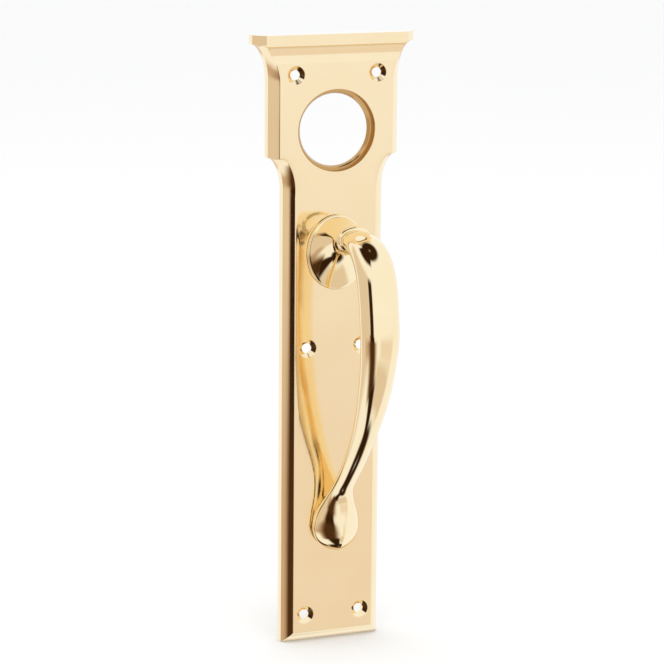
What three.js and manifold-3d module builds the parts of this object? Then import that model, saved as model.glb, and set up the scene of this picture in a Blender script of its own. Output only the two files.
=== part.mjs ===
// Door pull handle on a moulded back plate with a stepped lock-cylinder hole.
// Units are millimetres. +Z is up, the door's face is the plane y = 0 and the front faces -Y.
// The origin is the middle of the plate's back, at half its width and half its height.
// A depth is a distance in front of the door's face, so a point at depth d has y = -d.

import * as THREE from 'three';
import { mergeVertices } from 'three/addons/utils/BufferGeometryUtils.js';
import Module from 'manifold-3d';

const wasm = await Module();
wasm.setup();

// ---- driving dimensions -------------------------------------------------------------------

const GAP = 0.3;                    // clearance between pieces that touch

const HALF_H = 155;                 // half of the plate's height
const FILLET_DEPTH = 10.3;          // front of the cornice fillet
const FACE_DEPTH = 9.6;             // the plate's flat front
const EDGE_DEPTH = 4.6;             // front of the square outer edge
const WALL = 3;                     // thickness of the hollow casting

const LOWER_HALF = 26.4;            // half widths of the outer outline
const BLOCK_HALF = 34.4;
const CORNICE_HALF = 42.7;
const LOWER_FACE_HALF = 19.7;       // half widths inside the moulding, at the fillet's level
const BLOCK_FACE_HALF = 29.1;
const CORNICE_FACE_HALF = 37.3;
const FOOT_MOULD = 7.2;             // width of the moulding along the bottom edge
const LOWER_TILTS = [60, 21];       // the moulding's slope at its outer edge and at the fillet's level
const BLOCK_TILTS = [52, 42];       // the same round the upper block, where it is nearly a bevel

const FILLET_Z = 150.4;             // underside of the cornice fillet
const CORNICE_Z = 132;              // where the hollows under the cornice begin
const BLOCK_Z = 94.5;               // underside of the upper block
const SHOULDER_Z = 78;              // foot of the outer shoulder hollow
const FACE_SHOULDER_Z = 73;         // foot of the inner shoulder hollow
const BAND_Z = 141;                 // lower edge of the hollow band under the fillet
const BAND_SAG = 0.7;               // how deep that band is hollowed
const QUIRK = 0.5;                  // step between the fillet and the band
const GROOVE_Z = 149.2;             // lower edge of the narrow groove under the fillet
const GROOVE_DEPTH = 8.8;
const CORNICE_POWER = 1.8;          // how hollow the inner curve under the cornice is

const POCKET_TOP = 146;             // top of the hollow back

const BORE_Z = 107.3;               // lock-cylinder hole, stepped from front to back
const BORE_FRONT_R = 20.4;
const BORE_LEDGE_R = 18.9;
const BORE_R = 18;
const BORE_STEP = 2.6;
const BORE_COLLAR_R = 23;
const BORE_COLLAR_BACK = 4.4;

const SCREWS = [[21.6, 135.2], [14.5, -1.8], [15, -140.7]];
const SCREW_R = 2.5;
const SCREW_HEAD_R = 4.5;
const SCREW_CONE = 1.9;
const PAD_R = 8;                    // bearing pad at the middle of the back

const BOSS_Z = 46.6;                // oval foot of the boss
const BOSS_A = 15.5;
const BOSS_B = 18.8;
const BOSS_RIM = 2.2;
const BOSS_LIP = 0.8;
const BOSS_FLARE = 2.2;             // power of the bell curve
const NECK_Z = 56.4;                // axis of the oval neck, the collar and the stud
const NECK_A = 8.3;
const NECK_B = 6;
const NECK_DEPTH = 30.7;

const COLLAR_STAND = 0.9;           // how far the collar stands out from the neck
const COLLAR_T = 4;

const STUD_R = 3;                   // M6 stud with its nut and washer
const STUD_START = 0.5;
const STUD_END = 46;
const NUT_FLATS = 10;
const NUT_T = 3.8;
const WASHER_R = 6.2;
const WASHER_T = 1.4;

const PIN_R = 1.5;                  // pin that stops the oval boss turning
const PIN_Z = 36;
const PIN_START = 6.7;
const PIN_END = 13.2;

const TAIL_Z = -93.9;               // round end of the grip
const TAIL_R = 12.1;
const TAIL_RIM = 14.4;
const KEEL = 0.67;                  // how far the tail's front draws up to a soft ridge
const TAIL_DOME = 9.4;
const TAIL_SCREW_R = 2.5;           // M5 screw from behind
const TAIL_SCREW_END = 13.4;
const TAIL_HEAD_R = 4.2;
const TAIL_HEAD_T = 2.4;
const TAIL_WASHER_R = 5;
const TAIL_WASHER_T = 1;
const SLOT_W = 1.2;

// The grip's spine from the collar round the crook to its tail. Each station holds the depth and
// height of its centre, its half width, its front and back half thickness and how round its back is.
const STATIONS = [
  [NECK_DEPTH + COLLAR_T + 2 * GAP, NECK_Z, 7.6, 5.3, 5.5, 1],
  [42, 56, 8.3, 5.9, 6.5, 1],
  [50.5, 54, 9.1, 6.6, 7.6, 1],
  [58, 48.2, 9.6, 7.3, 8.2, 1],
  [62.8, 38.8, 9.8, 7.8, 8.4, 1],
  [65.4, 26, 9.8, 8, 8.2, 1],
  [66.6, 13, 9.7, 8, 8, 1],
  [65, 0.6, 9, 7.6, 7.6, 1],
  [60.8, -13.9, 8.2, 7, 7, 1],
  [53.6, -29.6, 6.9, 6, 6, 1],
  [46.3, -41.6, 6.1, 5.2, 5.2, 1],
  [35.2, -56.4, 5.5, 4.5, 4.4, 1],
  [26, -67, 5.4, 4.2, 4.2, 1],
  [20, -75, 6.6, 4.5, 3.8, 0.9],
  [16.4, -82.5, 9.3, 7, 5, 0.6],
  [14.9, -88.5, 11.4, 8.7, 5.2, 0.35],
  [TAIL_RIM, TAIL_Z, TAIL_R, TAIL_DOME, TAIL_RIM - FACE_DEPTH - GAP, 0.25],
];

// ---- materials ----------------------------------------------------------------------------

const metal = (color, roughness) => new THREE.MeshStandardMaterial({ color, roughness, metalness: 1 });
const satinBrass = metal(0xf2d9ae, 0.35);
const polishedBrass = metal(0xf0cf95, 0.1);
const zincSteel = metal(0xb9bcc0, 0.4);

// ---- making solids ------------------------------------------------------------------------

const at = (x, depth, z) => new THREE.Vector3(x, -depth, z);
const onFront = (p) => new THREE.Vector2(p.x, p.z);
const onSide = (p) => new THREE.Vector2(p.y, p.z);
const onTop = (p) => new THREE.Vector2(p.x, p.y);

// Turns points and triangles into a solid whose faces point out, whichever way round they run.
function solidFrom(points, triangles) {
  let volume = 0;
  for (let i = 0; i < triangles.length; i += 3) {
    const [a, b, c] = triangles.slice(i, i + 3).map((k) => points[k]);
    volume += a.dot(new THREE.Vector3().crossVectors(b, c));
  }
  const geometry = new THREE.BufferGeometry().setFromPoints(points);
  geometry.setIndex(volume < 0 ? triangles.toReversed() : triangles);
  const merged = mergeVertices(geometry, 1e-4);
  return new wasm.Manifold(new wasm.Mesh({
    numProp: 3,
    vertProperties: merged.attributes.position.array,
    triVerts: new Uint32Array(merged.index.array),
  }));
}

// The triangles of a flat cap, wound the way its contour runs.
function cap(contour) {
  const faces = THREE.ShapeUtils.triangulateShape(contour, []);
  return THREE.ShapeUtils.isClockWise(contour) ? faces.map(([a, b, c]) => [c, b, a]) : faces;
}

// A closed body through rings of equal count. The first and last ring are capped; flat(point)
// and flatEnd(point) give the two coordinates in which each cap is triangulated.
function loft(rings, flat, flatEnd = flat) {
  const n = rings[0].length;
  const last = (rings.length - 1) * n;
  const triangles = [];
  for (let base = 0; base < last; base += n) {
    for (let i = 0; i < n; i += 1) {
      const j = (i + 1) % n;
      triangles.push(base + i, base + j, base + n + j);
      triangles.push(base + i, base + n + j, base + n + i);
    }
  }
  for (const [a, b, c] of cap(rings[0].map(flat))) {
    triangles.push(c, b, a);
  }
  for (const [a, b, c] of cap(rings.at(-1).map(flatEnd))) {
    triangles.push(last + a, last + b, last + c);
  }
  return solidFrom(rings.flat(), triangles);
}

// A solid of revolution about the line through (x, z) square to the door.
// The profile is a closed list of [radius, depth].
function turned(profile, x, z, segments = 32) {
  const outline = profile.map(([r, depth]) => new THREE.Vector2(r, -depth));
  const lathe = new THREE.LatheGeometry([...outline, outline[0]], segments).translate(x, 0, z);
  lathe.deleteAttribute('normal');
  lathe.deleteAttribute('uv');
  const merged = mergeVertices(lathe, 1e-4);
  const position = merged.attributes.position;
  const points = Array.from({ length: position.count }, (_, i) => (
    new THREE.Vector3().fromBufferAttribute(position, i)));
  return solidFrom(points, dropSlivers(Array.from(merged.index.array)));
}

// Leaves out the triangles that a lathe folds flat where its profile lies on the axis.
function dropSlivers(index) {
  const kept = [];
  for (let i = 0; i < index.length; i += 3) {
    const [a, b, c] = index.slice(i, i + 3);
    if (a !== b && b !== c && c !== a) {
      kept.push(a, b, c);
    }
  }
  return kept;
}

const cylinder = (r, from, to, x, z, segments) => (
  turned([[0, from], [r, from], [r, to], [0, to]], x, z, segments));

function mesh(name, solid, material) {
  const { vertProperties, triVerts } = solid.getMesh();
  const geometry = new THREE.BufferGeometry();
  geometry.setAttribute('position', new THREE.BufferAttribute(vertProperties, 3));
  geometry.setIndex(new THREE.BufferAttribute(triVerts, 1));
  geometry.computeVertexNormals();
  const made = new THREE.Mesh(geometry, material);
  made.name = name;
  return made;
}

// ---- back plate ---------------------------------------------------------------------------

// A quarter of an ellipse that curves out from (half, foot) to (half + rx, top).
function hollow(half, foot, rx, top, steps = 7) {
  return Array.from({ length: steps + 1 }, (_, i) => {
    const angle = (i / steps) * Math.PI / 2;
    return [half + rx * (1 - Math.cos(angle)), foot + (top - foot) * Math.sin(angle)];
  });
}

// A flatter hollow between the same ends, with its points at the same heights.
function sweep(half, foot, rx, top, power, steps = 7) {
  return Array.from({ length: steps + 1 }, (_, i) => {
    const rise = Math.sin((i / steps) * Math.PI / 2);
    return [half + rx * rise ** power, foot + (top - foot) * rise];
  });
}

const mirrored = (half) => [...half, ...half.map(([x, z]) => [-x, z]).reverse()];
const ring = (outline, depth) => outline.map(([x, z]) => at(x, depth, z));
const slab = (outline, from, to) => loft([ring(outline, from), ring(outline, to)], onFront);

const OUTER = mirrored([
  [LOWER_HALF, -HALF_H],
  ...hollow(LOWER_HALF, SHOULDER_Z, BLOCK_HALF - LOWER_HALF, BLOCK_Z),
  ...hollow(BLOCK_HALF, CORNICE_Z, CORNICE_HALF - BLOCK_HALF, FILLET_Z),
  [CORNICE_HALF, HALF_H],
]);
const INNER = mirrored([
  [LOWER_FACE_HALF, FOOT_MOULD - HALF_H],
  ...hollow(LOWER_FACE_HALF, FACE_SHOULDER_Z, BLOCK_FACE_HALF - LOWER_FACE_HALF, BLOCK_Z),
  ...sweep(BLOCK_FACE_HALF, CORNICE_Z, CORNICE_FACE_HALF - BLOCK_FACE_HALF, FILLET_Z, CORNICE_POWER),
  [CORNICE_FACE_HALF, HALF_H],
]);

// How far inward and how high the moulding is, both 0 to 1, a part of the way across it. It is an
// arc whose slope falls from its outer to its inner tilt, which change over the outer shoulder.
function moulding(part, z) {
  const up = THREE.MathUtils.clamp((z - SHOULDER_Z) / (BLOCK_Z - SHOULDER_Z), 0, 1);
  const [start, end] = LOWER_TILTS.map((tilt, k) => (
    THREE.MathUtils.degToRad(THREE.MathUtils.lerp(tilt, BLOCK_TILTS[k], up))));
  const tilt = THREE.MathUtils.lerp(start, end, part);
  return {
    inward: (Math.sin(start) - Math.sin(tilt)) / (Math.sin(start) - Math.sin(end)),
    rise: (Math.cos(tilt) - Math.cos(start)) / (Math.cos(end) - Math.cos(start)),
  };
}

// The blank: a square edge, then the moulding all round that rises to the cornice fillet.
function blank() {
  const steps = 8;
  const rings = [ring(OUTER, 0), ring(OUTER, EDGE_DEPTH)];
  for (let i = 1; i <= steps; i += 1) {
    rings.push(OUTER.map(([x, z], k) => {
      const { inward, rise } = moulding(i / steps, z);
      return at(
        THREE.MathUtils.lerp(x, INNER[k][0], inward),
        THREE.MathUtils.lerp(EDGE_DEPTH, FILLET_DEPTH, rise),
        THREE.MathUtils.lerp(z, INNER[k][1], inward),
      );
    }));
  }
  return loft(rings, onFront);
}

// What is planed off the front below the fillet, leaving the flat face, the hollow band and the groove.
function frontCut() {
  const steps = 6;
  const clear = FILLET_DEPTH + 1;
  const profile = [[clear, FILLET_Z], [clear, -HALF_H - 1], [FACE_DEPTH, -HALF_H - 1]];
  for (let i = 0; i <= steps; i += 1) {
    const t = i / steps;
    const depth = THREE.MathUtils.lerp(FACE_DEPTH, FILLET_DEPTH - QUIRK, t);
    profile.push([depth - 4 * BAND_SAG * t * (1 - t), THREE.MathUtils.lerp(BAND_Z, GROOVE_Z, t)]);
  }
  profile.push([GROOVE_DEPTH, GROOVE_Z + 0.2], [GROOVE_DEPTH, FILLET_Z]);
  const side = (x) => profile.map(([depth, z]) => at(x, depth, z));
  return loft([side(-CORNICE_HALF - 1), side(CORNICE_HALF + 1)], onSide);
}

// A hollow of the back that keeps the given wall to the outline, as deep as the casting allows.
function pocket(half, blockHalf, wall, depth) {
  return slab(mirrored([
    [half - wall, FOOT_MOULD - HALF_H + wall],
    ...hollow(half - wall, SHOULDER_Z + wall, blockHalf - half, BLOCK_Z + wall),
    [blockHalf - wall, POCKET_TOP],
  ]), -1, depth);
}

function backPlate() {
  const face = FACE_DEPTH - WALL;
  const screwHole = [
    [0, -1],
    [SCREW_R, -1],
    [SCREW_R, FACE_DEPTH - SCREW_CONE],
    [SCREW_HEAD_R, FACE_DEPTH],
    [SCREW_HEAD_R + 1, FACE_DEPTH + 1],
    [0, FACE_DEPTH + 1],
  ];
  const bore = [
    [0, -1],
    [BORE_R, -1],
    [BORE_R, BORE_COLLAR_BACK + 1],
    [BORE_LEDGE_R, FACE_DEPTH - BORE_STEP],
    [BORE_FRONT_R, FACE_DEPTH - BORE_STEP],
    [BORE_FRONT_R, FACE_DEPTH + 1],
    [0, FACE_DEPTH + 1],
  ];
  let plate = blank()
    .subtract(frontCut())
    .subtract(pocket(LOWER_HALF, BLOCK_HALF, WALL, EDGE_DEPTH - WALL))
    .subtract(pocket(LOWER_FACE_HALF, BLOCK_FACE_HALF, 1.2, face))
    .add(cylinder(BORE_COLLAR_R, BORE_COLLAR_BACK, face + 1, 0, BORE_Z, 48))
    .add(cylinder(PAD_R, 0, face + 1, 0, 0))
    .subtract(turned(bore, 0, BORE_Z, 48))
    .subtract(cylinder(STUD_R + GAP, -1, FACE_DEPTH + 1, 0, NECK_Z))
    .subtract(cylinder(PIN_R + GAP, -1, FACE_DEPTH + 1, 0, PIN_Z))
    .subtract(cylinder(TAIL_SCREW_R + GAP, -1, FACE_DEPTH + 1, 0, TAIL_Z));
  for (const [x, z] of SCREWS) {
    plate = plate.subtract(turned(screwHole, x, z)).subtract(turned(screwHole, -x, z));
  }
  return plate;
}

// ---- boss and collar ----------------------------------------------------------------------

function oval(a, b, depth, z, count = 40) {
  return Array.from({ length: count }, (_, i) => {
    const angle = (i / count) * Math.PI * 2;
    return at(a * Math.cos(angle), depth, z + b * Math.sin(angle));
  });
}

// A bell on an oval foot. Its smaller oval neck is set higher than the middle of the foot.
function handleBoss() {
  const steps = 10;
  const foot = FACE_DEPTH + GAP;
  const rim = foot + BOSS_RIM;
  const rings = [oval(BOSS_A, BOSS_B, foot, BOSS_Z), oval(BOSS_A, BOSS_B, rim, BOSS_Z)];
  for (let i = 0; i <= steps; i += 1) {
    const t = i / steps;
    const flare = (1 - t) ** BOSS_FLARE;
    rings.push(oval(
      THREE.MathUtils.lerp(NECK_A, BOSS_A - BOSS_LIP, flare),
      THREE.MathUtils.lerp(NECK_B, BOSS_B - BOSS_LIP, flare),
      THREE.MathUtils.lerp(rim + BOSS_LIP / 2, NECK_DEPTH, t),
      THREE.MathUtils.lerp(NECK_Z, BOSS_Z, flare),
    ));
  }
  return loft(rings, onFront)
    .subtract(cylinder(STUD_R + GAP, 0, NECK_DEPTH + 1, 0, NECK_Z))
    .subtract(cylinder(PIN_R + GAP, 0, PIN_END + GAP, 0, PIN_Z));
}

// An oval bead between the boss and the grip, half-round at its edge.
function neckCollar() {
  const steps = 8;
  const back = NECK_DEPTH + GAP;
  const rings = [];
  for (let i = 0; i <= steps; i += 1) {
    const angle = (i / steps) * Math.PI;
    const stand = COLLAR_STAND * Math.sin(angle);
    const depth = back + COLLAR_T * (1 - Math.cos(angle)) / 2;
    rings.push(oval(NECK_A + stand, NECK_B + stand, depth, NECK_Z));
  }
  return loft(rings, onFront)
    .subtract(cylinder(STUD_R + GAP, back - 1, back + COLLAR_T + 1, 0, NECK_Z));
}

// ---- grip ---------------------------------------------------------------------------------

// One section: an ellipse whose back squares up, and whose front draws up to a soft ridge, as round
// falls from 1 to 0.
function section(centre, normal, halfWidth, front, back, round, count = 24) {
  return Array.from({ length: count }, (_, i) => {
    const angle = (i / count) * Math.PI * 2;
    const across = Math.cos(angle);
    const along = Math.sin(angle);
    const power = along < 0 ? round : 1 + KEEL * (1 - round);
    const x = halfWidth * Math.sign(across) * Math.abs(across) ** power;
    const reach = (along < 0 ? -back : front) * Math.abs(along) ** power;
    return at(x, centre.x + normal.x * reach, centre.y + normal.y * reach);
  });
}

// The sections follow a smooth spine, square to it, and end in the half-round tail.
function gripRings() {
  const spine = new THREE.CatmullRomCurve3(STATIONS.map(([d, z, a]) => new THREE.Vector3(d, z, a)));
  const girth = new THREE.CatmullRomCurve3(STATIONS.map(([, , , ...s]) => new THREE.Vector3(...s)));
  const steps = (STATIONS.length - 1) * 3;
  const rings = [];
  for (let i = 0; i <= steps; i += 1) {
    const centre = spine.getPoint(i / steps);
    const size = girth.getPoint(i / steps);
    const tangent = spine.getTangent(i / steps);
    const square = new THREE.Vector2(-tangent.y, tangent.x).normalize();
    const normal = i === 0 ? new THREE.Vector2(0, 1) : square;
    rings.push(section(centre, normal, centre.z, size.x, size.y, size.z));
  }
  return rings;
}

function tailRings() {
  const steps = 8;
  const [, , , , back, round] = STATIONS.at(-1);
  const rings = [];
  for (let i = 1; i <= steps; i += 1) {
    const angle = (i / (steps + 0.3)) * Math.PI / 2;
    const centre = new THREE.Vector2(TAIL_RIM, TAIL_Z - TAIL_R * Math.sin(angle));
    const width = TAIL_R * Math.cos(angle);
    const dome = TAIL_DOME * Math.cos(angle);
    rings.push(section(centre, new THREE.Vector2(1, 0), width, dome, back, round));
  }
  return rings;
}

function grip() {
  const rests = slab(mirrored([[TAIL_R + 2, -HALF_H], [TAIL_R + 2, BOSS_Z]]), 0, FACE_DEPTH + GAP);
  return loft([...gripRings(), ...tailRings()], onFront, onTop)
    .subtract(rests)
    .subtract(cylinder(STUD_R + GAP, NECK_DEPTH, STUD_END + GAP, 0, NECK_Z))
    .subtract(cylinder(TAIL_SCREW_R + GAP, 0, TAIL_SCREW_END + GAP, 0, TAIL_Z));
}

// ---- fixings ------------------------------------------------------------------------------

const washer = (r, bore, from, to, z) => (
  cylinder(r, from, to, 0, z).subtract(cylinder(bore, from - 1, to + 1, 0, z)));

function topNut(front) {
  const corner = NUT_FLATS / 2 / Math.cos(Math.PI / 6);
  return cylinder(corner, front - NUT_T, front, 0, NECK_Z, 6)
    .subtract(cylinder(STUD_R + GAP, front - NUT_T - 1, front + 1, 0, NECK_Z));
}

function tailScrew(front) {
  const back = front - TAIL_HEAD_T;
  const slot = slab(mirrored([
    [SLOT_W / 2, TAIL_Z - TAIL_HEAD_R - 1],
    [SLOT_W / 2, TAIL_Z + TAIL_HEAD_R + 1],
  ]), back - 1, back + SLOT_W);
  return cylinder(TAIL_HEAD_R, back, front, 0, TAIL_Z)
    .add(cylinder(TAIL_SCREW_R, front - 0.5, TAIL_SCREW_END, 0, TAIL_Z))
    .subtract(slot);
}

// ---- assembly -----------------------------------------------------------------------------

const washerFront = FACE_DEPTH - WALL - GAP;

const handle = new THREE.Group();
handle.add(
  mesh('back_plate', backPlate(), satinBrass),
  mesh('handle_boss', handleBoss(), polishedBrass),
  mesh('neck_collar', neckCollar(), polishedBrass),
  mesh('grip', grip(), polishedBrass),
  mesh('top_stud', cylinder(STUD_R, STUD_START, STUD_END, 0, NECK_Z), zincSteel),
  mesh('top_washer', washer(WASHER_R, STUD_R + GAP, washerFront - WASHER_T, washerFront, NECK_Z), zincSteel),
  mesh('top_nut', topNut(washerFront - WASHER_T - GAP), zincSteel),
  mesh('boss_locating_pin', cylinder(PIN_R, PIN_START, PIN_END, 0, PIN_Z), zincSteel),
  mesh('tail_washer', washer(TAIL_WASHER_R, TAIL_SCREW_R + GAP, washerFront - TAIL_WASHER_T,
    washerFront, TAIL_Z), zincSteel),
  mesh('tail_screw', tailScrew(washerFront - TAIL_WASHER_T - GAP), zincSteel),
);

export default handle;
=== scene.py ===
"""Looks of a brass door pull handle on a moulded back plate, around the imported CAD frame.

Blender works in metres. Shapes are worked out here in millimetres as (x, depth, z), where depth is
the distance in front of the door's face, and put() turns them into the frame's metres.
"""

import math

import bmesh
import bpy
import numpy as np
from mathutils import Matrix, Vector


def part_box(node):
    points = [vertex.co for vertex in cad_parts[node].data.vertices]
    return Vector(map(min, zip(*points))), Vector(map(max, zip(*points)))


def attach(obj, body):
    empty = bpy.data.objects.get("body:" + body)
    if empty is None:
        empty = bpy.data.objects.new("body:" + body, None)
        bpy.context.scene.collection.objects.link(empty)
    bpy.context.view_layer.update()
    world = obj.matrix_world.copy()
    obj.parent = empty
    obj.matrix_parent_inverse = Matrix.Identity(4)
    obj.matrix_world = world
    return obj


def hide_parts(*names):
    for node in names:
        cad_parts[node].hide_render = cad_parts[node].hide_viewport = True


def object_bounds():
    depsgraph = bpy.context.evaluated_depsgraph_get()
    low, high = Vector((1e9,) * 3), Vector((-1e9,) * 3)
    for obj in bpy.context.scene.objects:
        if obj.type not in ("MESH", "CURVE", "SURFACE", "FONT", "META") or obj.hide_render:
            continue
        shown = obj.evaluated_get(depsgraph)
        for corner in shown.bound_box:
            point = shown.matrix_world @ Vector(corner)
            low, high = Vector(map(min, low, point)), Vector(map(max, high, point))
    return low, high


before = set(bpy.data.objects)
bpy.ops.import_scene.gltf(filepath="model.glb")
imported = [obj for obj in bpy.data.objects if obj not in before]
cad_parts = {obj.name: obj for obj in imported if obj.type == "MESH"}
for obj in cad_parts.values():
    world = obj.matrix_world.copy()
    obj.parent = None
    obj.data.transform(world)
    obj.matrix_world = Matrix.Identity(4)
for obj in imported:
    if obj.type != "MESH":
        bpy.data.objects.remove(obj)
cad_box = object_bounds()

MM = 0.001
GAP = 0.3


def extent(node):
    """Lowest and highest corner of a CAD node in millimetres, as (x, depth, z)."""
    low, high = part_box(node)
    return (
        (low[0] / MM, -high[1] / MM, low[2] / MM),
        (high[0] / MM, -low[1] / MM, high[2] / MM),
    )


# ---- sizes, from the frame where it holds them ---------------------------------------------------

_, (CORNICE_HALF, FILLET_DEPTH, HALF_H) = extent("back_plate")
(_, BOSS_FOOT, BOSS_LOW), (BOSS_A, NECK_DEPTH, BOSS_HIGH) = extent("handle_boss")
(_, COLLAR_BACK, COLLAR_LOW), (COLLAR_A, COLLAR_FRONT, COLLAR_HIGH) = extent("neck_collar")
(_, STUD_START, _), (STUD_R, STUD_END, _) = extent("top_stud")
(_, NUT_BACK, _), (NUT_CORNER, NUT_FRONT, _) = extent("top_nut")
(_, WASHER_BACK, _), (WASHER_R, WASHER_FRONT, _) = extent("top_washer")
(_, PIN_START, PIN_LOW), (PIN_R, PIN_END, PIN_HIGH) = extent("boss_locating_pin")
tail_washer_low, tail_washer_high = extent("tail_washer")
(_, SCREW_BACK, _), (SCREW_HEAD_R, SCREW_END, _) = extent("tail_screw")

FACE_DEPTH = BOSS_FOOT - GAP
NECK_Z = (COLLAR_LOW + COLLAR_HIGH) / 2
BOSS_Z = (BOSS_LOW + BOSS_HIGH) / 2
BOSS_B = (BOSS_HIGH - BOSS_LOW) / 2
PIN_Z = (PIN_LOW + PIN_HIGH) / 2
TAIL_Z = (tail_washer_low[2] + tail_washer_high[2]) / 2
TAIL_WASHER_BACK, TAIL_WASHER_FRONT = tail_washer_low[1], tail_washer_high[1]
TAIL_WASHER_R = tail_washer_high[0]

EDGE_DEPTH = 4.6  # front of the plate's square outer edge
WALL = 3  # thickness of the hollow casting
DEEP_POCKET_WALL = 1.2  # how far the deeper pocket stays inside the moulding's inner line
LOWER_HALF, BLOCK_HALF = 26.4, 34.4  # half widths of the outer outline
LOWER_FACE, BLOCK_FACE, CORNICE_FACE = 19.7, 29.1, 37.3  # half widths inside the moulding
FOOT_MOULD = 7.2
LOWER_TILTS, BLOCK_TILTS = (60, 21), (52, 42)  # slopes of the moulding, outside and inside, degrees
FILLET_Z, BAND_Z, CORNICE_Z, BLOCK_Z = 150.4, 141, 132, 94.5
SHOULDER_Z, FACE_SHOULDER_Z = 78, 73
BAND_SAG, QUIRK = 0.7, 0.5
GROOVE_Z, GROOVE_DEPTH, GROOVE_SLOPE = 149.2, 8.8, 0.2  # narrow groove under the fillet
CORNICE_POWER = 1.8  # how hollow the inner curve under the cornice is
POCKET_TOP = 146
MARGIN = 0.6  # how far inside the half widths above the buffed margin of the flat front ends
MARGIN_DROP = 0.06  # how much lower that margin is at the moulding
EDGE_R = 0.35  # buffed rounding of outer edges
LIP = 0.08  # buffed rounding where the moulding meets the flat front

BORE_Z = 107.3
BORE_FRONT_R, BORE_LEDGE_R, BORE_R = 20.4, 18.9, 18
BORE_STEP = 2.6
BORE_COLLAR_R, BORE_COLLAR_BACK = 23, 4.4
SCREWS = ((21.6, 135.2), (14.5, -1.8), (15, -140.7))
SCREW_R, SCREW_SINK_R, SCREW_CONE = 2.5, 4.5, 1.9
PAD_R = 8

BOSS_RIM, BOSS_LIP, BOSS_FLARE = 2.2, 0.8, 2.2
COLLAR_STAND = 0.9
NECK_A = COLLAR_A - COLLAR_STAND
NECK_B = (COLLAR_HIGH - COLLAR_LOW) / 2 - COLLAR_STAND

TAIL_R, TAIL_RIM, TAIL_DOME = 12.1, 14.4, 9.4
KEEL = 0.67  # how far the tail's front draws up to a soft ridge
TAIL_SCREW_R = 2.5
TAIL_HEAD_T = 2.4
SLOT_W = 1.2

# The grip's spine: depth and height of the centre, half width, front and back half thickness and
# how round the back is.
STATIONS = (
    (COLLAR_FRONT + GAP, NECK_Z, 7.6, 5.3, 5.5, 1),
    (42, 56, 8.3, 5.9, 6.5, 1),
    (50.5, 54, 9.1, 6.6, 7.6, 1),
    (58, 48.2, 9.6, 7.3, 8.2, 1),
    (62.8, 38.8, 9.8, 7.8, 8.4, 1),
    (65.4, 26, 9.8, 8, 8.2, 1),
    (66.6, 13, 9.7, 8, 8, 1),
    (65, 0.6, 9, 7.6, 7.6, 1),
    (60.8, -13.9, 8.2, 7, 7, 1),
    (53.6, -29.6, 6.9, 6, 6, 1),
    (46.3, -41.6, 6.1, 5.2, 5.2, 1),
    (35.2, -56.4, 5.5, 4.5, 4.4, 1),
    (26, -67, 5.4, 4.2, 4.2, 1),
    (20, -75, 6.6, 4.5, 3.8, 0.9),
    (16.4, -82.5, 9.3, 7, 5, 0.6),
    (14.9, -88.5, 11.4, 8.7, 5.2, 0.35),
    (TAIL_RIM, TAIL_Z, TAIL_R, TAIL_DOME, TAIL_RIM - FACE_DEPTH - GAP, 0.25),
)


# ---- materials -----------------------------------------------------------------------------------


class Nodes:
    """The node tree of a material or world, with short calls to add and link nodes."""

    def __init__(self, owner, shader="Principled BSDF"):
        owner.use_nodes = True
        self.owner = owner
        self.tree = owner.node_tree
        self.shader = self.tree.nodes[shader]
        self.coordinates = self.tree.nodes.new("ShaderNodeTexCoord").outputs
        self.place = self.coordinates["Object"]

    def add(self, kind, **inputs):
        node = self.tree.nodes.new(kind)
        for key, value in inputs.items():
            socket = node.inputs[key.replace("_", " ")]
            if isinstance(value, bpy.types.NodeSocket):
                self.tree.links.new(value, socket)
            else:
                socket.default_value = value
        return node

    def link(self, output, socket):
        self.tree.links.new(output, self.shader.inputs[socket])

    def noise(self, scale, stretch=(1, 1, 1), detail=3.0, roughness=0.5):
        """Noise of scale lumps per metre, drawn out along an axis by a small stretch."""
        mapping = self.add("ShaderNodeMapping", Vector=self.place)
        mapping.inputs["Scale"].default_value = stretch
        return self.add(
            "ShaderNodeTexNoise",
            Vector=mapping.outputs["Vector"],
            Scale=scale,
            Detail=detail,
            Roughness=roughness,
        ).outputs["Fac"]

    def ranged(self, value, low, high, from_low=0.3, from_high=0.7):
        node = self.add("ShaderNodeMapRange", Value=value)
        node.inputs["From Min"].default_value = from_low
        node.inputs["From Max"].default_value = from_high
        node.inputs["To Min"].default_value = low
        node.inputs["To Max"].default_value = high
        return node.outputs["Result"]

    def math(self, operation, first, second=0.0):
        node = self.tree.nodes.new("ShaderNodeMath")
        node.operation = operation
        for socket, value in zip(node.inputs, (first, second)):
            if isinstance(value, bpy.types.NodeSocket):
                self.tree.links.new(value, socket)
            else:
                socket.default_value = value
        return node.outputs["Value"]

    def blend(self, factor, first, second):
        node = self.tree.nodes.new("ShaderNodeMix")
        node.data_type = "RGBA"
        self.tree.links.new(factor, node.inputs["Factor"])
        for socket, value in ((node.inputs[6], first), (node.inputs[7], second)):
            if isinstance(value, bpy.types.NodeSocket):
                self.tree.links.new(value, socket)
            else:
                socket.default_value = (*value, 1)
        return node.outputs[2]

    def bump(self, height, distance, strength=1.0, under=None):
        node = self.add("ShaderNodeBump", Height=height, Distance=distance, Strength=strength)
        if under is not None:
            self.tree.links.new(under, node.inputs["Normal"])
        return node.outputs["Normal"]


BORE_FADE = 0.00008  # metres over which the bore's painted shade fades out at its rim


def in_bore(nodes):
    """Painted-shade mask: 1 on the walls and ledge of the lock-cylinder hole, 0 on the rest of the
    plate.
    """
    axes = nodes.add("ShaderNodeSeparateXYZ", Vector=nodes.place).outputs
    up = nodes.math("SUBTRACT", axes["Z"], BORE_Z * MM)
    across_squared = nodes.math("MULTIPLY", axes["X"], axes["X"])
    up_squared = nodes.math("MULTIPLY", up, up)
    distance = nodes.math("SQRT", nodes.math("ADD", across_squared, up_squared))
    rim = BORE_FRONT_R * MM
    return nodes.ranged(distance, 1, 0, rim, rim + BORE_FADE)


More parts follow.
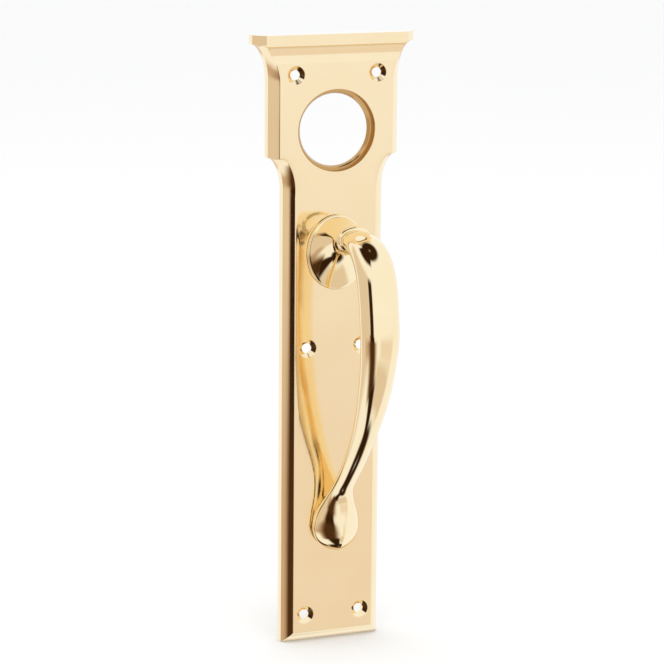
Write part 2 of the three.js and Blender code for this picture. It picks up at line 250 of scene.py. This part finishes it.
def metal(name, color, deep, roughness, streak, grain, waves, bore_shade_color=None):
    """Polished or brushed metal: cloudy colour, roughness that varies, and streaks up and down.

    streak is how far the brushing lowers and lifts the roughness, grain the depth of its lines in
    metres and waves the depth of the slow unevenness that a buffing wheel leaves. The last colour
    is painted shade for the bore: a brown on the walls and ledge of the lock-cylinder hole that
    stands in for the shade and dark reflection inside it.
    """
    nodes = Nodes(bpy.data.materials.new(name))
    clouds = nodes.noise(38, detail=4.0)
    lines = nodes.noise(2600, stretch=(1, 1, 0.012), detail=2.0, roughness=0.6)
    scuffs = nodes.noise(420, stretch=(1, 1, 0.25), detail=5.0, roughness=0.65)
    swell = nodes.noise(26, stretch=(1, 1, 0.6), detail=1.0)
    base = nodes.blend(nodes.ranged(clouds, 0, 1), color, deep)
    # painted shade: the bore's walls and ledge get a brown that stands in for the shade inside the
    # hole
    if bore_shade_color:
        base = nodes.blend(in_bore(nodes), base, bore_shade_color)
    nodes.link(base, "Base Color")
    wear = nodes.ranged(scuffs, roughness * 0.8, roughness * 1.25, 0.35, 0.65)
    nodes.link(nodes.math("ADD", wear, nodes.ranged(lines, -streak, streak)), "Roughness")
    relief = nodes.bump(lines, grain)
    nodes.link(nodes.bump(swell, waves, under=relief), "Normal")
    nodes.shader.inputs["Metallic"].default_value = 1.0
    return nodes.owner


plate_brass = metal(
    "plate_brass",
    (0.945, 0.76, 0.465),
    (0.93, 0.735, 0.435),
    roughness=0.085,
    streak=0.035,
    grain=0.000002,
    waves=0.00001,
    # painted shade in the lock-cylinder bore
    bore_shade_color=(0.56, 0.33, 0.12),
)
polished_brass = metal(
    "polished_brass",
    (0.945, 0.765, 0.465),
    (0.93, 0.74, 0.435),
    roughness=0.045,
    streak=0.01,
    grain=0.0000003,
    waves=0.000006,
)
fixing_steel = metal(
    "fixing_steel",
    (0.62, 0.63, 0.65),
    (0.5, 0.51, 0.53),
    roughness=0.32,
    streak=0.06,
    grain=0.000004,
    waves=0.00001,
)
MATERIALS = {
    "plate_brass": plate_brass,
    "polished_brass": polished_brass,
    "fixing_steel": fixing_steel,
}


# ---- making meshes -------------------------------------------------------------------------------


def put(point):
    x, depth, z = point
    return (x * MM, -depth * MM, z * MM)


def new_object(name, points, faces):
    """A closed mesh in the scene with its faces out, from millimetre points."""
    data = bpy.data.meshes.new(name)
    data.from_pydata([put(p) for p in points], [], faces)
    work = bmesh.new()
    work.from_mesh(data)
    bmesh.ops.remove_doubles(work, verts=work.verts, dist=0.002 * MM)
    bmesh.ops.dissolve_degenerate(work, edges=work.edges, dist=0.0005 * MM)
    bmesh.ops.recalc_face_normals(work, faces=work.faces)
    work.to_mesh(data)
    work.free()
    made = bpy.data.objects.new(name, data)
    bpy.context.collection.objects.link(made)
    return made


def loft(name, rings, closed=False):
    """A body through rings of equal count, capped at its ends or, if closed, joined in a loop."""
    count = len(rings[0])
    points = [p for ring in rings for p in ring]
    faces = []
    for k in range(len(rings) if closed else len(rings) - 1):
        here, there = k * count, (k + 1) % len(rings) * count
        for i in range(count):
            j = (i + 1) % count
            faces.append((here + i, here + j, there + j, there + i))
    if not closed:
        faces.append(tuple(range(count)))
        faces.append(tuple(range(len(points) - count, len(points))))
    return new_object(name, points, faces)


def oval(a, b, depth, z, count=128, x=0):
    angles = (2 * math.pi * i / count for i in range(count))
    return [(x + a * math.cos(t), depth, z + b * math.sin(t)) for t in angles]


def turned(name, profile, z, x=0, count=64, closed=False):
    """A round body about a line square to the door, through [radius, depth] pairs."""
    return loft(name, [oval(r, r, depth, z, count, x) for r, depth in profile], closed)


def solid_result(body, cutters, operation="DIFFERENCE"):
    """Cuts the cutters out of body, joins them or keeps what they share, and removes them."""
    for cutter in cutters:
        step = body.modifiers.new("cut", "BOOLEAN")
        step.operation = operation
        step.solver = "EXACT"
        step.object = cutter
    graph = bpy.context.evaluated_depsgraph_get()
    result = bpy.data.meshes.new_from_object(body.evaluated_get(graph))
    body.modifiers.clear()
    body.data = result
    for cutter in cutters:
        bpy.data.objects.remove(cutter)


def sideways(normal):
    """The direction along the door in which a face leans, or None if it lies flat."""
    lean = Vector((normal.x, normal.z))
    return lean.normalized() if lean.length > 0.01 else None


def shade(body, angle=34, mitre=20, crease=2.5):
    """Smooth shading that keeps true edges, mitres and the rim of each flat face crisp."""
    work = bmesh.new()
    work.from_mesh(body.data)
    for face in work.faces:
        face.smooth = True
    for edge in work.edges:
        if len(edge.link_faces) != 2:
            continue
        one, two = (face.normal for face in edge.link_faces)
        turn = math.degrees(one.angle(two, 0))
        leans = sideways(one), sideways(two)
        flat = leans.count(None) == 1
        folded = None not in leans and math.degrees(leans[0].angle(leans[1], 0)) > mitre
        edge.smooth = not (turn > angle or (flat and turn > crease) or (folded and turn > 1))
    work.to_mesh(body.data)
    work.free()


def finish_piece(body, node, slot):
    body.data.materials.clear()
    body.data.materials.append(MATERIALS[slot])
    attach(body, "root")
    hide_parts(node)


# ---- back plate ----------------------------------------------------------------------------------


LEAD_IN = 1.5  # short straight before a hollow, so that its shading starts clean


def hollow(half, foot, reach, top, steps=16, power=None):
    """A quarter of an ellipse from (half, foot) out to (half + reach, top), with a lead-in.

    Some of its points lie at the edges of the band and the groove if the hollow passes them. With
    a power it is a flatter curve through the same heights.
    """
    marks = (BAND_Z, GROOVE_Z, GROOVE_Z + GROOVE_SLOPE)
    turns = [math.pi / 2 * i / steps for i in range(steps + 1)]
    turns += [math.asin((z - foot) / (top - foot)) for z in marks if foot < z < top]
    turns.sort()
    curve = []
    for t in turns:
        out = math.sin(t) ** power if power else 1 - math.cos(t)
        curve.append((half + reach * out, foot + (top - foot) * math.sin(t)))
    return [(half, foot - LEAD_IN), *curve]


def outline(lower, block, cornice, foot, shoulder, inset=0, power=None):
    """Right-hand half of the plate's outline from its foot to its top."""
    return [
        (lower - inset, foot + inset),
        *hollow(lower - inset, shoulder, block - lower, BLOCK_Z + inset),
        *hollow(block - inset, CORNICE_Z, cornice - block, FILLET_Z, power=power),
        (cornice - inset, FILLET_Z),
        (cornice - inset, HALF_H),
    ]


def front_depth(z, on_fillet):
    """Depth of the front at a height: the face, the hollow band, the groove and the fillet."""
    if on_fillet:
        return FILLET_DEPTH
    if z <= BAND_Z:
        return FACE_DEPTH
    if z > GROOVE_Z + GROOVE_SLOPE / 2:
        return GROOVE_DEPTH
    t = (z - BAND_Z) / (GROOVE_Z - BAND_Z)
    return FACE_DEPTH + (FILLET_DEPTH - QUIRK - FACE_DEPTH) * t - 4 * BAND_SAG * t * (1 - t)


def mix(a, b, t):
    return a + (b - a) * t


class Moulding:
    """The arc across the moulding at a height; its tilts change over the outer shoulder."""

    def __init__(self, z):
        up = min(max((z - SHOULDER_Z) / (BLOCK_Z - SHOULDER_Z), 0), 1)
        tilts = [mix(lower, block, up) for lower, block in zip(LOWER_TILTS, BLOCK_TILTS)]
        self.start, self.end = map(math.radians, tilts)

    def tilt(self, depth):
        """The slope to the front where the moulding reaches a depth."""
        rise = (depth - EDGE_DEPTH) / (FILLET_DEPTH - EDGE_DEPTH)
        return math.acos(mix(math.cos(self.start), math.cos(self.end), rise))

    def inward(self, tilt):
        """How far across the moulding, from 0 at its outer edge, it has a tilt."""
        whole = math.sin(self.start) - math.sin(self.end)
        return (math.sin(self.start) - math.sin(tilt)) / whole

    def depth(self, tilt):
        """The depth at which it has a tilt."""
        whole = math.cos(self.end) - math.cos(self.start)
        return mix(EDGE_DEPTH, FILLET_DEPTH, (math.cos(tilt) - math.cos(self.start)) / whole)


def moulding_places(arc, depth, steps=18):
    """How far inward and how deep the edge and the moulding are, from the back up to a depth."""
    start, top = arc.tilt(EDGE_DEPTH + EDGE_R / 2), arc.tilt(depth - LIP)
    places = [(0, 0), (0, EDGE_DEPTH - EDGE_R)]
    for t in (math.pi / 6, math.pi / 3):
        corner = EDGE_DEPTH - EDGE_R + EDGE_R * 1.5 * math.sin(t)
        places.append((arc.inward(start) * (1 - math.cos(t)), corner))
    for i in range(steps + 1):
        tilt = mix(start, top, i / steps)
        places.append((arc.inward(tilt), arc.depth(tilt)))
    return places


def margin_places(depth, drop):
    """The same across the buffed margin, from the moulding (0) to its inner line (1) and on."""
    lip = [(0.04, depth - drop - (LIP - drop) * 0.3), (0.09, depth - drop)]
    rise = [(w, depth - drop * (1 - w) ** 1.6) for w in (0.3, 0.6, 0.85, 1)]
    return [*lip, *rise, (1.4, depth)]


def plate_column(outer, inner, margin, on_fillet):
    """Points across the moulding at one place on the outline, from the back to the flat front."""
    depth = front_depth(inner[1], on_fillet)
    column = []
    for u, d in moulding_places(Moulding(outer[1]), depth):
        column.append((mix(outer[0], inner[0], u), d, mix(outer[1], inner[1], u)))
    rim_x, _, rim_z = column[-1]
    for v, d in margin_places(depth, 0 if on_fillet else MARGIN_DROP):
        column.append((mix(rim_x, margin[0], v), d, mix(rim_z, margin[1], v)))
    return column


def plate_blank():
    """The whole front with its moulding, closed by square edges, a flat top and a flat back."""
    sizes = (LOWER_FACE, BLOCK_FACE, CORNICE_FACE, FOOT_MOULD - HALF_H, FACE_SHOULDER_Z)
    outer = outline(LOWER_HALF, BLOCK_HALF, CORNICE_HALF, -HALF_H, SHOULDER_Z)
    inner = outline(*sizes, power=CORNICE_POWER)
    margin = outline(*sizes, inset=MARGIN, power=CORNICE_POWER)
    last = len(outer) - 2
    right = [plate_column(outer[k], inner[k], margin[k], k >= last) for k in range(len(outer))]
    left = [[(-x, depth, z) for x, depth, z in column] for column in right]
    columns = right + left[::-1]
    count = len(columns[0])
    points = [p for column in columns for p in column]
    faces = []
    crown = len(right) - 1
    for k in range(len(columns)):
        if k == crown:
            continue
        here, there = k * count, (k + 1) % len(columns) * count
        for i in range(count - 1):
            faces.append((here + i, there + i, there + i + 1, here + i + 1))
    for k in range(crown):
        mirror = len(columns) - 1 - k
        near, far = (k + 1) * count - 1, (k + 2) * count - 1
        near_left, far_left = (mirror + 1) * count - 1, mirror * count - 1
        faces.append((near, far, far_left, near_left))
    right_end = range(crown * count, (crown + 1) * count)
    left_end = range((crown + 1) * count, (crown + 2) * count)
    faces.append((*right_end, *reversed(left_end)))
    faces.append(tuple(k * count for k in range(len(columns))))
    return new_object("plate", points, faces)


def slab(name, half_outline, start, end):
    ring = half_outline + [(-x, z) for x, z in half_outline[::-1]]
    return loft(name, [[(x, start, z) for x, z in ring], [(x, end, z) for x, z in ring]])


def pocket(half, block_half, wall, depth):
    """The hollow of the back that keeps a wall to the outline."""
    edge = [
        (half - wall, FOOT_MOULD - HALF_H + wall),
        *hollow(half - wall, SHOULDER_Z + wall, block_half - half, BLOCK_Z + wall),
        (block_half - wall, POCKET_TOP),
    ]
    return slab("pocket", edge, -1, depth)


def hole(radius, z, x=0, start=-1, end=FACE_DEPTH + 1):
    return turned("hole", [(radius, start), (radius, end)], z, x)


def buffed_mouth(radius, depth):
    """The rounded rim of a hole of that radius in the flat front."""
    turns = [math.pi / 2 * i / 3 for i in range(4)]
    soft = 0.25
    rim = [
        (radius + soft * (1 - math.cos(t)), depth - soft * (1 - math.sin(t))) for t in turns
    ]
    return [*rim, (radius + soft, depth + 1)]


def screw_sink(x, z):
    """A countersunk screw hole, wider than the front so that it cuts clean."""
    shank = [(SCREW_R, -1), (SCREW_R, FACE_DEPTH - SCREW_CONE)]
    return turned("sink", [*shank, *buffed_mouth(SCREW_SINK_R, FACE_DEPTH)], z, x)


def hollow_back():
    """The two pockets of the back, which leave the ring round the bore and the bearing pad."""
    face = FACE_DEPTH - WALL
    ring = [(BORE_COLLAR_R, BORE_COLLAR_BACK), (BORE_COLLAR_R, face + 1)]
    hollows = [
        pocket(LOWER_HALF, BLOCK_HALF, WALL, EDGE_DEPTH - WALL),
        pocket(LOWER_FACE, BLOCK_FACE, DEEP_POCKET_WALL, face),
    ]
    kept = [
        turned("ring", ring, BORE_Z, count=128),
        turned("pad", [(PAD_R, -2), (PAD_R, face + 1)], 0),
    ]
    for pocket_body in hollows:
        copies = [keep.copy() for keep in kept]
        for copy in copies:
            bpy.context.collection.objects.link(copy)
        solid_result(pocket_body, copies)
    for keep in kept:
        bpy.data.objects.remove(keep)
    return hollows


def stepped_bore():
    """The lock-cylinder hole, with its ledge and its buffed mouth."""
    ledge = FACE_DEPTH - BORE_STEP
    profile = [
        (BORE_R, -1),
        (BORE_R, BORE_COLLAR_BACK + 1),
        (BORE_LEDGE_R, ledge),
        (BORE_FRONT_R, ledge),
        *buffed_mouth(BORE_FRONT_R, FACE_DEPTH),
    ]
    return turned("bore", profile, BORE_Z, count=160)


def back_plate():
    plate = plate_blank()
    cutters = [
        *hollow_back(),
        stepped_bore(),
        hole(STUD_R + GAP, NECK_Z),
        hole(PIN_R + GAP, PIN_Z),
        hole(TAIL_SCREW_R + GAP, TAIL_Z),
    ]
    for x, z in SCREWS:
        cutters += [screw_sink(x, z), screw_sink(-x, z)]
    solid_result(plate, cutters)
    shade(plate)
    finish_piece(plate, "back_plate", "plate_brass")


# ---- boss and collar -----------------------------------------------------------------------------


def boss():
    """A bell on an oval foot with a narrow rim; its oval neck sits above the foot's middle."""
    steps = 48
    rim = BOSS_FOOT + BOSS_RIM
    soft = 0.3
    rings = [
        oval(BOSS_A - soft, BOSS_B - soft, BOSS_FOOT, BOSS_Z),
        oval(BOSS_A, BOSS_B, BOSS_FOOT + soft, BOSS_Z),
    ]
    for i in range(5):
        t = math.pi / 2 * i / 4
        inset = soft * (1 - math.cos(t))
        rings.append(oval(BOSS_A - inset, BOSS_B - inset, rim - soft * (1 - math.sin(t)), BOSS_Z))
    for i in range(steps + 1):
        t = i / steps
        flare = (1 - t) ** BOSS_FLARE
        rings.append(
            oval(
                mix(NECK_A, BOSS_A - BOSS_LIP, flare),
                mix(NECK_B, BOSS_B - BOSS_LIP, flare),
                mix(rim + BOSS_LIP / 2, NECK_DEPTH, t),
                mix(NECK_Z, BOSS_Z, flare),
            )
        )
    made = loft("boss", rings)
    cuts = [
        hole(STUD_R + GAP, NECK_Z, end=NECK_DEPTH + 1),
        hole(PIN_R + GAP, PIN_Z, end=PIN_END + GAP),
    ]
    solid_result(made, cuts)
    shade(made, crease=15)
    finish_piece(made, "handle_boss", "polished_brass")


def collar():
    """A half-round oval bead with the stud's hole through it."""
    steps = 16
    thick = COLLAR_FRONT - COLLAR_BACK
    rings = []
    for i in range(steps + 1):
        t = math.pi * i / steps
        stand = COLLAR_STAND * math.sin(t)
        depth = COLLAR_BACK + thick * (1 - math.cos(t)) / 2
        rings.append(oval(NECK_A + stand, NECK_B + stand, depth, NECK_Z))
    bore = STUD_R + GAP
    rings.append(oval(bore, bore, COLLAR_FRONT, NECK_Z))
    rings.append(oval(bore, bore, COLLAR_BACK, NECK_Z))
    made = loft("collar", rings, closed=True)
    shade(made, crease=15)
    finish_piece(made, "neck_collar", "polished_brass")


# ---- grip ----------------------------------------------------------------------------------------


def smooth_curve(rows, samples):
    """Natural cubic splines through the rows, by chord length along their first two values."""
    rows = np.array(rows, dtype=float)
    chords = np.hypot(*np.diff(rows[:, :2], axis=0).T)
    knots = np.concatenate([[0], np.cumsum(chords)])
    count = len(knots)
    system = np.eye(count)
    right = np.zeros_like(rows)
    for i in range(1, count - 1):
        before, after = chords[i - 1], chords[i]
        system[i, i - 1 : i + 2] = before, 2 * (before + after), after
        right[i] = 6 * ((rows[i + 1] - rows[i]) / after - (rows[i] - rows[i - 1]) / before)
    bend = np.linalg.solve(system, right)
    places = np.linspace(0, knots[-1], samples)
    spans = np.clip(np.searchsorted(knots, places, side="right") - 1, 0, count - 2)
    width = chords[spans][:, None]
    ahead = (places - knots[spans])[:, None]
    back = width - ahead
    values = (
        (bend[spans] * back**3 + bend[spans + 1] * ahead**3) / (6 * width)
        + (rows[spans] / width - bend[spans] * width / 6) * back
        + (rows[spans + 1] / width - bend[spans + 1] * width / 6) * ahead
    )
    return values


def section(centre, normal, half, front, back, roundness, count=112):
    """One section of the grip: an ellipse at roundness 1. As that falls its back squares up and its
    front draws up to a soft ridge."""
    ring = []
    for i in range(count):
        t = 2 * math.pi * i / count
        across, along = math.cos(t), math.sin(t)
        power = roundness if along < 0 else 1 + KEEL * (1 - roundness)
        x = half * math.copysign(abs(across) ** power, across)
        reach = (-back if along < 0 else front) * abs(along) ** power
        depth = max(centre[0] + normal[0] * reach, FACE_DEPTH + GAP)
        ring.append((x, depth, centre[1] + normal[1] * reach))
    return ring


def grip():
    """The crooked, tapering grip and the teardrop tail that lies on the plate."""
    curve = smooth_curve(STATIONS, 260)
    slopes = np.gradient(curve[:, :2], axis=0)
    rings = []
    for k, (depth, z, half, front, back, roundness) in enumerate(curve):
        slope = slopes[k] / np.linalg.norm(slopes[k])
        normal = (0, 1) if k == 0 else (-slope[1], slope[0])
        rings.append(section((depth, z), normal, half, front, back, min(roundness, 1)))
    steps = 28
    depth, z, half, front, back, roundness = STATIONS[-1]
    for i in range(1, steps + 1):
        t = math.pi / 2 * i / (steps + 0.2)
        centre = (depth, z - half * math.sin(t))
        shrink = math.cos(t)
        rings.append(section(centre, (1, 0), half * shrink, front * shrink, back, roundness))
    made = loft("curved_grip", rings)
    cuts = [
        hole(STUD_R + GAP, NECK_Z, start=COLLAR_FRONT - 1, end=STUD_END + GAP),
        hole(TAIL_SCREW_R + GAP, TAIL_Z, start=0, end=SCREW_END + GAP),
    ]
    solid_result(made, cuts)
    shade(made, angle=50, mitre=180, crease=50)
    finish_piece(made, "grip", "polished_brass")


# ---- fixings -------------------------------------------------------------------------------------


def threaded(name, radius, start, end, z, pitch, cut=0.35, per_turn=8, count=32):
    """A threaded rod: its radius follows a helix, and its ends are chamfered."""
    rows = int((end - start) / pitch * per_turn)
    rings = []
    for row in range(rows + 1):
        depth = mix(start, end, row / rows)
        ring = []
        for i in range(count):
            phase = (depth / pitch - i / count) % 1
            groove = cut * (1 - abs(2 * phase - 1))
            chamfer = max(0, cut - (depth - start), cut - (end - depth))
            r = radius - max(groove, chamfer)
            t = 2 * math.pi * i / count
            ring.append((r * math.cos(t), depth, z + r * math.sin(t)))
        rings.append(ring)
    return loft(name, rings)


def stud():
    made = threaded("stud", STUD_R, STUD_START, STUD_END, NECK_Z, pitch=1)
    shade(made, angle=60, mitre=180, crease=60)
    finish_piece(made, "top_stud", "fixing_steel")


def washer(name, node, outer, bore, back, front, z):
    soft = 0.2
    profile = [
        (bore, back + soft),
        (bore + soft, back),
        (outer - soft, back),
        (outer, back + soft),
        (outer, front - soft),
        (outer - soft, front),
        (bore + soft, front),
        (bore, front - soft),
    ]
    made = turned(name, profile, z, closed=True)
    shade(made, angle=30)
    finish_piece(made, node, "fixing_steel")


def nut():
    """A hexagon nut whose corners are turned off at both ends."""
    corner = NUT_CORNER
    bore = STUD_R + GAP
    body = turned("nut", [(corner, NUT_BACK), (corner, NUT_FRONT)], NECK_Z, count=6)
    flats = corner * math.cos(math.pi / 6)
    lift = (corner - flats) * math.tan(math.radians(30)) + 0.15
    rounding = turned(
        "rounding",
        [(flats - 0.2, NUT_BACK), (corner + 0.1, NUT_BACK + lift), (corner + 0.1, NUT_FRONT - lift),
         (flats - 0.2, NUT_FRONT)],
        NECK_Z,
        count=96,
    )
    solid_result(body, [rounding], "INTERSECT")
    solid_result(body, [hole(bore, NECK_Z)])
    shade(body, angle=20)
    finish_piece(body, "top_nut", "fixing_steel")


def pin():
    soft = 0.35
    profile = [
        (PIN_R - soft, PIN_START),
        (PIN_R, PIN_START + soft),
        (PIN_R, PIN_END - soft),
        (PIN_R - soft, PIN_END),
    ]
    made = turned("locating_pin", profile, PIN_Z, count=40)
    shade(made, angle=30)
    finish_piece(made, "boss_locating_pin", "fixing_steel")


def tail_screw():
    """A slotted cheese-head screw with a threaded shank."""
    front = SCREW_BACK + TAIL_HEAD_T
    soft = 0.3
    profile = [
        (SCREW_HEAD_R - soft, SCREW_BACK),
        (SCREW_HEAD_R, SCREW_BACK + soft),
        (SCREW_HEAD_R, front),
    ]
    head = turned("cheese_head_screw", profile, TAIL_Z)
    reach = SCREW_HEAD_R + 1
    slot = slab(
        "slot",
        [(SLOT_W / 2, TAIL_Z - reach), (SLOT_W / 2, TAIL_Z + reach)],
        SCREW_BACK - 1,
        SCREW_BACK + SLOT_W,
    )
    solid_result(head, [slot])
    shank = threaded("shank", TAIL_SCREW_R, front - 0.5, SCREW_END, TAIL_Z, pitch=0.8, cut=0.3)
    solid_result(head, [shank], "UNION")
    shade(head, angle=50, mitre=180, crease=50)
    finish_piece(head, "tail_screw", "fixing_steel")


back_plate()
boss()
collar()
grip()
stud()
washer("washer", "top_washer", WASHER_R, STUD_R + GAP, WASHER_BACK, WASHER_FRONT, NECK_Z)
nut()
pin()
washer(
    "tail_screw_washer",
    "tail_washer",
    TAIL_WASHER_R,
    TAIL_SCREW_R + GAP,
    TAIL_WASHER_BACK,
    TAIL_WASHER_FRONT,
    TAIL_Z,
)
tail_screw()


# ---- floor, light and camera ---------------------------------------------------------------------


def plain_material(name, color, roughness=0.8):
    nodes = Nodes(bpy.data.materials.new(name))
    speck = nodes.noise(60, detail=3.0)
    nodes.link(nodes.blend(speck, color, [c * 0.985 for c in color]), "Base Color")
    nodes.shader.inputs["Roughness"].default_value = roughness
    nodes.shader.inputs["Specular IOR Level"].default_value = 0.1
    return nodes.owner


FLOOR_HALF = 9
FLOOR_DROP = 0.0002


def lay_floor():
    """A wide pale floor just under the part, which doesn't show in the metal."""
    level = cad_box[0][2] - FLOOR_DROP
    half = FLOOR_HALF
    corners = [(-half, -half, level), (half, -half, level), (half, half, level), (-half, half, level)]
    data = bpy.data.meshes.new("floor")
    data.from_pydata(corners, [], [(0, 1, 2, 3)])
    data.materials.append(plain_material("floor_paint", (0.96, 0.96, 0.96)))
    made = bpy.data.objects.new("floor", data)
    made.visible_glossy = False
    bpy.context.collection.objects.link(made)


# What the metal sees of the studio. WHITE is the white walls; each patch in front of them has its
# colour, the azimuths between which it lies (from the front, left is negative), the elevations, and
# how soft its sides and its upper and lower edge are, all in degrees. Later patches cover earlier.
WHITE = (1.03, 1.1, 1.24)
TAN = (0.8, 0.73, 0.68)
WARM = (0.92, 0.865, 0.87)
DULL = (0.62, 0.48, 0.4)
DIM = (0.36, 0.24, 0.17)
UMBER = (0.075, 0.036, 0.013)
BLACK = (0.035, 0.014, 0.004)
ALL_ROUND = (-200, 200)
STUDIO = (
    (TAN, (-146, -60), (-30, 30), 16, 16),
    (TAN, (-200, -170), (-70, -2), 8, 14),
    (TAN, (140, 200), (-70, -2), 20, 14),
    (DULL, (-100, -50), (-26, -13.5), 16, 8),
    (TAN, (-20, 60), (-65, -34), 14, 14),
    (WARM, (-5, 60), (-34, -10), 14, 14),
    (DIM, (-76, -28), (-50, -13), 22, 6),
    (DIM, (-66, -40), (-16, -7.5), 10, 3),
    (BLACK, (-60, -40), (-16, 26), 6, 10),
    (BLACK, (-58, -37), (-16, -8.5), 7, 3),
    (UMBER, (-66, -36), (-46, -14), 14, 5),
    (BLACK, (-62, -22), (-90, -44), 14, 10),
    (BLACK, (-130, -30), (52, 90), 10, 10),
    (BLACK, ALL_ROUND, (64, 90), 10, 10),
    (BLACK, ALL_ROUND, (-90, -72), 10, 10),
)


def soft_edge(nodes, value, place, soft, rising):
    """0 to 1 across a soft edge at a place, rising or falling."""
    ends = (0, 1) if rising else (1, 0)
    low, high = (math.radians(place + side * soft / 2) for side in (-1, 1))
    result = nodes.ranged(value, *ends, low, high)
    result.node.interpolation_type = "SMOOTHSTEP"
    return result


def between(nodes, value, ends, soft):
    """1 where a value lies between two ends, falling softly to 0 outside them."""
    rise = soft_edge(nodes, value, ends[0], soft, True)
    fall = soft_edge(nodes, value, ends[1], soft, False)
    return nodes.math("MULTIPLY", rise, fall)


def studio_world():
    """White all round for the floor and the camera; the metal sees the studio's patches."""
    nodes = Nodes(bpy.data.worlds.new("studio"), shader="Background")
    axes = nodes.add("ShaderNodeSeparateXYZ", Vector=nodes.coordinates["Generated"]).outputs
    azimuth = nodes.math("ARCTAN2", axes["X"], nodes.math("MULTIPLY", axes["Y"], -1))
    elevation = nodes.math("ARCSINE", axes["Z"])
    view = WHITE
    for color, azimuths, elevations, soft_side, soft_end in STUDIO:
        across = between(nodes, azimuth, azimuths, soft_side)
        upward = between(nodes, elevation, elevations, soft_end)
        view = nodes.blend(nodes.math("MULTIPLY", across, upward), view, color)
    glossy = nodes.tree.nodes.new("ShaderNodeLightPath").outputs["Is Glossy Ray"]
    nodes.link(nodes.blend(glossy, (1, 1, 1), view), "Color")
    return nodes.owner


LAMP_PLACE = Vector((-0.3, -0.6, 1.8))
LAMP_SIZE = 1.6
LAMP_WATTS = 8


def overhead():
    """A large soft lamp above and in front, for the shadow on the floor."""
    data = bpy.data.lights.new("overhead", "AREA")
    data.shape = "RECTANGLE"
    data.size = LAMP_SIZE
    data.size_y = LAMP_SIZE
    data.energy = LAMP_WATTS
    lamp = bpy.data.objects.new("overhead", data)
    lamp.location = LAMP_PLACE
    lamp.rotation_euler = (-LAMP_PLACE).to_track_quat("-Z", "Y").to_euler()
    lamp.visible_glossy = False
    bpy.context.collection.objects.link(lamp)


CAMERA_PLACE = Vector((-0.50249, -1.23464, 0.28943))
CAMERA_AZIMUTH, CAMERA_ELEVATION, CAMERA_ROLL = -22.238, 12.091, 0.517
CAMERA_LENS, SENSOR = 146.7, 36
CLIP_END = 30


def camera():
    """The photographer's viewpoint: left of the middle and a little above it."""
    azimuth, elevation, roll = map(math.radians, (CAMERA_AZIMUTH, CAMERA_ELEVATION, CAMERA_ROLL))
    level = math.cos(elevation)
    back = Vector((math.sin(azimuth) * level, -math.cos(azimuth) * level, math.sin(elevation)))
    right = (-back).cross(Vector((0, 0, 1))).normalized()
    up = right.cross(-back)
    data = bpy.data.cameras.new("camera")
    data.lens = CAMERA_LENS
    data.sensor_width = SENSOR
    data.clip_end = CLIP_END
    made = bpy.data.objects.new("camera", data)
    across = right * math.cos(roll) + up * math.sin(roll)
    upright = -right * math.sin(roll) + up * math.cos(roll)
    turn = Matrix((across, upright, back)).transposed()
    made.matrix_world = Matrix.Translation(CAMERA_PLACE) @ turn.to_4x4()
    bpy.context.collection.objects.link(made)
    bpy.context.scene.camera = made


lay_floor()
bpy.context.scene.world = studio_world()
overhead()
camera()
bpy.context.scene.view_settings.view_transform = "Standard"
